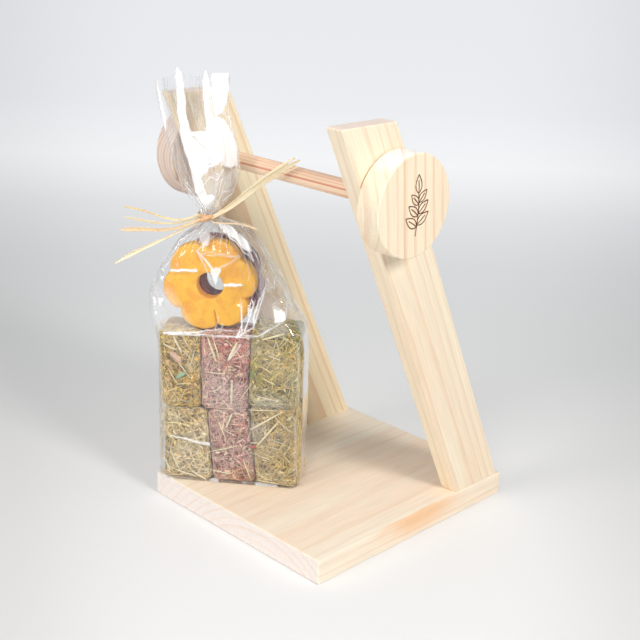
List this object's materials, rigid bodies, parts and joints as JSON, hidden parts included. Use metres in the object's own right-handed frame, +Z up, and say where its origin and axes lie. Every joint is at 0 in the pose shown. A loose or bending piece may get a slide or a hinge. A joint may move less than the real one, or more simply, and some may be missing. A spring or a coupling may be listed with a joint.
{
  "type": "snack tower",
  "caption": "Wooden stand with leaning posts and a turning crossbar between end discs, beside a tied clear pack of pressed hay bricks and flower-shaped biscuits.",
  "frame": {"origin": "centre of the base plate's underside, on the floor", "axes": "+X along the crossbar towards the disc that stays on it, +Y towards the back where the posts stand, +Z up"},
  "size_m": [0.215, 0.2217, 0.3181],
  "materials": {
    "pine": "planed and sanded, bare",
    "red_pine": "turned and sanded, bare",
    "steel": "zinc plated",
    "clear_film": "clear and glossy, creased",
    "raffia": "dry, fibrous, slightly shiny",
    "meadow_hay": "pressed, rough",
    "beet_hay": "pressed, rough",
    "golden_hay": "pressed, rough",
    "blossom_hay": "pressed, rough",
    "herb_hay": "pressed, rough",
    "yellow_biscuit": "baked, matte",
    "beet_biscuit": "baked, matte"
  },
  "bodies": {
    "frame": {"base_plate": "pine", "left_post": "pine", "right_post": "pine", "post_screws": "steel"},
    "end_disc": {"left_disc": "pine"},
    "bar": {"crossbar": "red_pine", "right_disc": "pine"},
    "snack_pack": {"bag_film": "clear_film", "raffia_knot": "raffia", "raffia_tail_left_top": "raffia", "raffia_tail_left_upper": "raffia", "raffia_tail_left_lower": "raffia", "raffia_tail_left_bottom": "raffia", "raffia_tail_right_top": "raffia", "raffia_tail_right_short": "raffia", "hay_brick_lower_left": "meadow_hay", "hay_brick_lower_middle": "beet_hay", "hay_brick_lower_right": "golden_hay", "hay_brick_upper_left": "blossom_hay", "hay_brick_upper_middle": "beet_hay", "hay_brick_upper_right": "herb_hay", "biscuit_yellow": "yellow_biscuit", "biscuit_red": "beet_biscuit"}
  },
  "joints": [
    {"name": "bar_turn", "type": "hinge", "parent": "frame", "child": "end_disc", "pos_m": [0, -0.0426, 0.2525], "axis": [1, 0, 0], "continuous": true},
    {"name": "bar_pull", "type": "slide", "parent": "end_disc", "child": "bar", "axis": [1, 0, 0], "range_m": [0, 0.197]},
    {"name": "pack_off", "type": "slide", "parent": "frame", "child": "snack_pack", "axis": [0.6225, -0.7826, 0], "range_m": [0, 0.25]}
  ]
}
